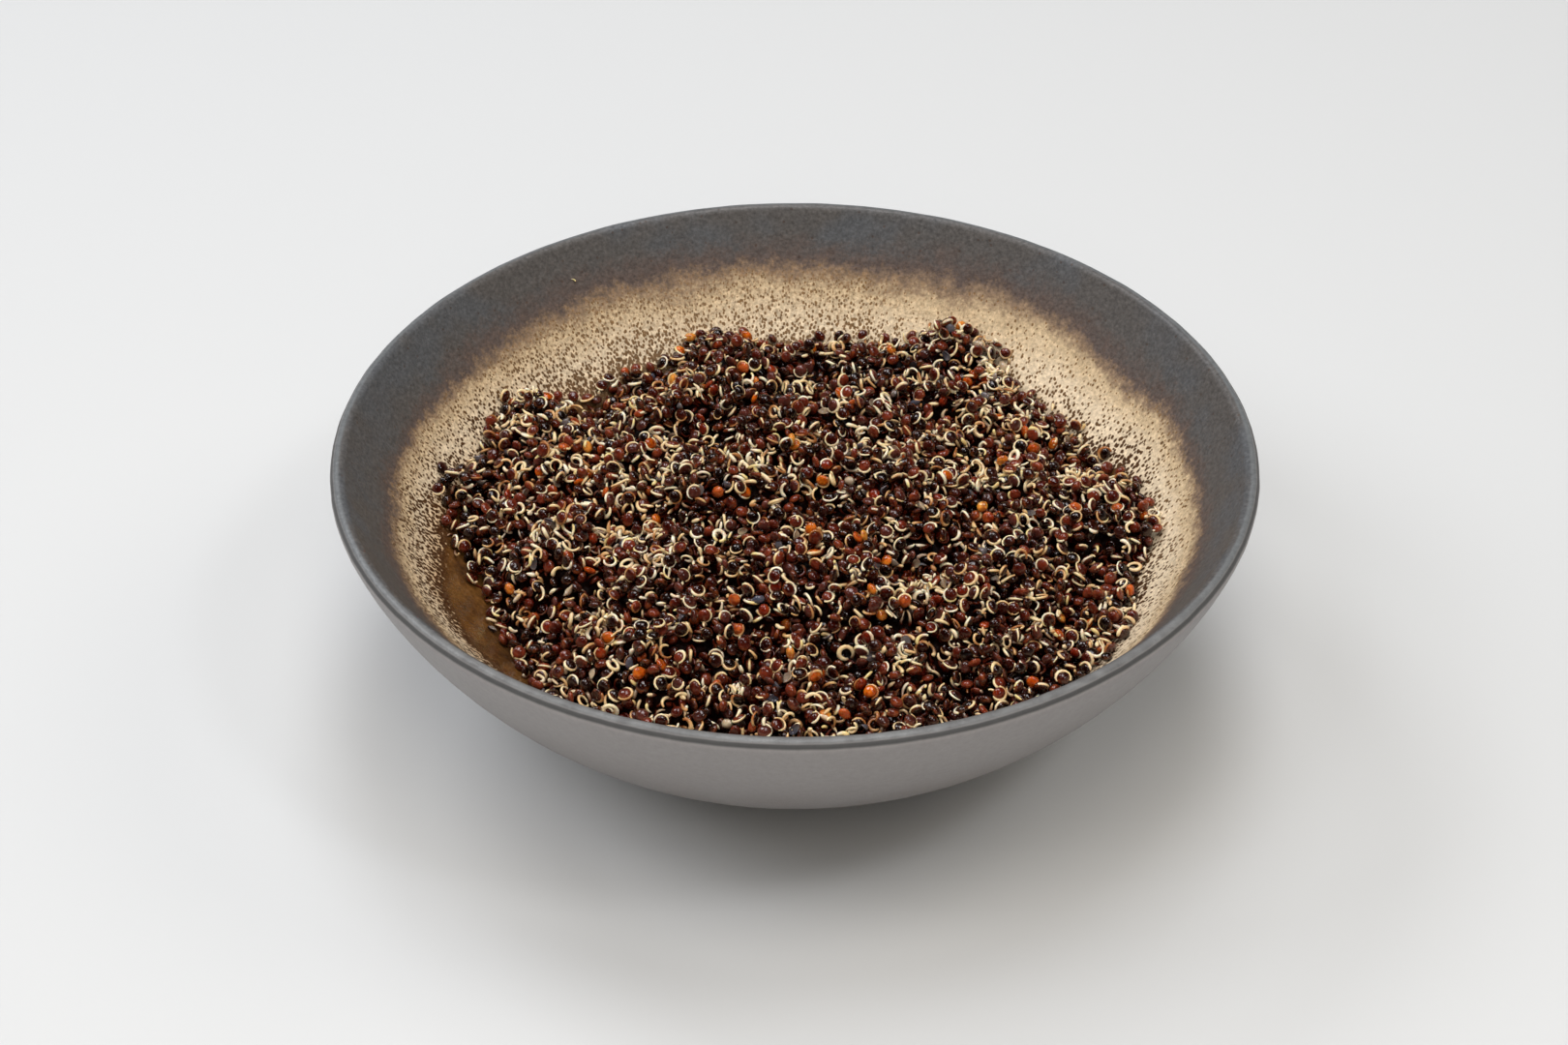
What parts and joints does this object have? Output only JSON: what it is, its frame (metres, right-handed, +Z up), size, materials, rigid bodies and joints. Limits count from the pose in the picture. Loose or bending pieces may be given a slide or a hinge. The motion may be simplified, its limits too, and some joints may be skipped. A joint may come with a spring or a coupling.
{
  "type": "bowl of quinoa",
  "caption": "Round stoneware bowl with a dark matte outside and a speckled beige glaze inside, filled with an uneven heap of cooked dark quinoa.",
  "frame": {"origin": "middle of the foot's bottom, where the bowl stands", "axes": "+Z up, through the middle of the bowl; -Y towards the side where the heap slopes lowest on the left"},
  "size_m": [0.16, 0.16, 0.052],
  "materials": {
    "bowl": "matte charcoal glaze, beige and speckled inside",
    "quinoa": "moist dark maroon seeds",
    "red_seed": "moist red seeds",
    "amber_seed": "moist amber seeds",
    "germ": "moist cream germ",
    "husk": "grey translucent husk"
  },
  "bodies": {
    "root": {"bowl": "bowl", "quinoa": "quinoa"}
  },
  "joints": []
}
